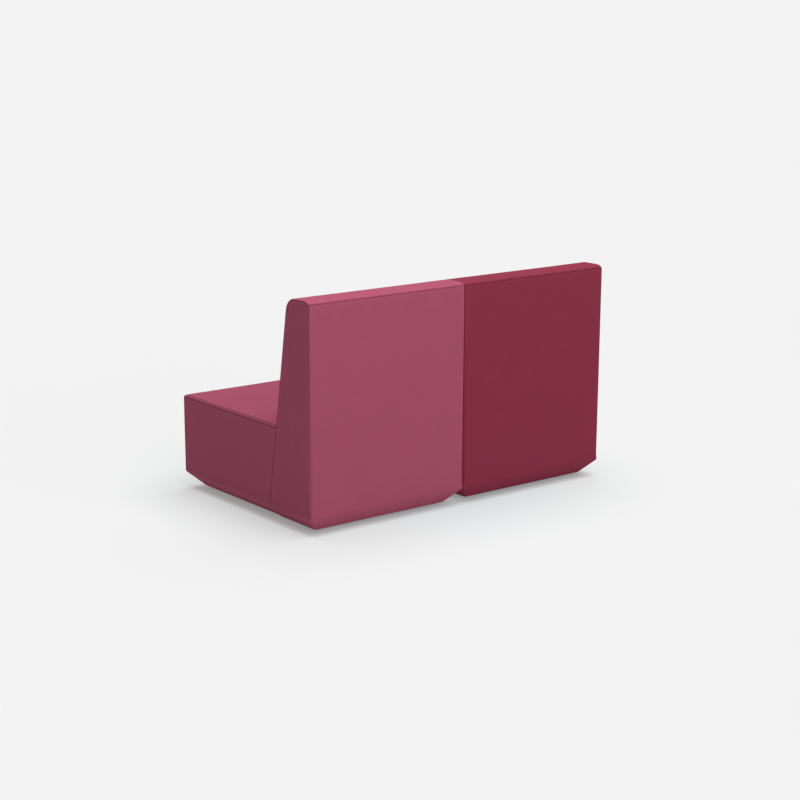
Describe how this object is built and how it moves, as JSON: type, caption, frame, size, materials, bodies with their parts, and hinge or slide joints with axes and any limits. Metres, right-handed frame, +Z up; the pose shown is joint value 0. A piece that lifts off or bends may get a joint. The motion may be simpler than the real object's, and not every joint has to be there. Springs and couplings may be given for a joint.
{
  "type": "high-back two-seat sofa",
  "caption": "High-back two-seat sofa of upholstered modules side by side, one rose and one burgundy, each a seat block with a wedge-shaped back on a bevelled base, joined by swivel links.",
  "frame": {"origin": "On the floor, in the middle of the sofa's footprint.", "axes": "+X to the rose module, which is at the left of someone seated; +Y to the rear; +Z up. The sitter faces -Y."},
  "size_m": [1.503, 0.925, 0.917],
  "materials": {
    "rose_fabric": "plain woven wool upholstery, dusty rose, matt",
    "burgundy_fabric": "plain woven wool upholstery, burgundy, matt",
    "foam": "polyurethane foam, cream",
    "plywood": "birch plywood, raw",
    "pine": "planed pine, raw",
    "hardboard": "hardboard, raw",
    "webbing": "elastic webbing, dark grey",
    "dust_cloth": "spunbonded cloth, black",
    "glide_plastic": "moulded plastic, black",
    "zinc_steel": "zinc-plated steel"
  },
  "bodies": {
    "sofa": {"rose_seat_cover": "rose_fabric", "rose_seat_foam": "foam", "rose_seat_wrap_foam": "foam", "rose_seat_webbing": "webbing", "rose_seat_front_rail": "plywood", "rose_seat_rear_rail": "plywood", "rose_seat_left_rail": "plywood", "rose_seat_right_rail": "plywood", "rose_seat_plinth": "pine", "rose_seat_corner_blocks": "pine", "rose_seat_dust_cloth": "dust_cloth", "rose_back_cover": "rose_fabric", "rose_back_front_foam": "foam", "rose_back_wrap_foam": "foam", "rose_back_left_post": "plywood", "rose_back_right_post": "plywood", "rose_back_top_rail": "plywood", "rose_back_bolt_rail": "plywood", "rose_back_plinth": "pine", "rose_back_rear_panel": "hardboard", "rose_back_webbing": "webbing", "rose_back_dust_cloth": "dust_cloth", "rose_glides": "glide_plastic", "rose_glide_screws": "zinc_steel", "rose_joining_bolts": "zinc_steel", "rose_tee_nuts": "zinc_steel", "burgundy_seat_cover": "burgundy_fabric", "burgundy_seat_foam": "foam", "burgundy_seat_wrap_foam": "foam", "burgundy_seat_webbing": "webbing", "burgundy_seat_front_rail": "plywood", "burgundy_seat_rear_rail": "plywood", "burgundy_seat_left_rail": "plywood", "burgundy_seat_right_rail": "plywood", "burgundy_seat_plinth": "pine", "burgundy_seat_corner_blocks": "pine", "burgundy_seat_dust_cloth": "dust_cloth", "burgundy_back_cover": "burgundy_fabric", "burgundy_back_front_foam": "foam", "burgundy_back_wrap_foam": "foam", "burgundy_back_left_post": "plywood", "burgundy_back_right_post": "plywood", "burgundy_back_top_rail": "plywood", "burgundy_back_bolt_rail": "plywood", "burgundy_back_plinth": "pine", "burgundy_back_rear_panel": "hardboard", "burgundy_back_webbing": "webbing", "burgundy_back_dust_cloth": "dust_cloth", "burgundy_glides": "glide_plastic", "burgundy_glide_screws": "zinc_steel", "burgundy_joining_bolts": "zinc_steel", "burgundy_tee_nuts": "zinc_steel", "link_pivots": "zinc_steel", "link_studs": "zinc_steel"},
    "front_link": {"front_link": "zinc_steel"},
    "rear_link": {"rear_link": "zinc_steel"}
  },
  "joints": [
    {"name": "front_link_swivel", "type": "hinge", "parent": "sofa", "child": "front_link", "pos_m": [0.086, -0.3305, 0.0067], "axis": [0, 0, 1], "range_deg": [-90, 0]},
    {"name": "rear_link_swivel", "type": "hinge", "parent": "sofa", "child": "rear_link", "pos_m": [0.086, 0.07181, 0.0067], "axis": [0, 0, 1], "range_deg": [0, 90]}
  ]
}
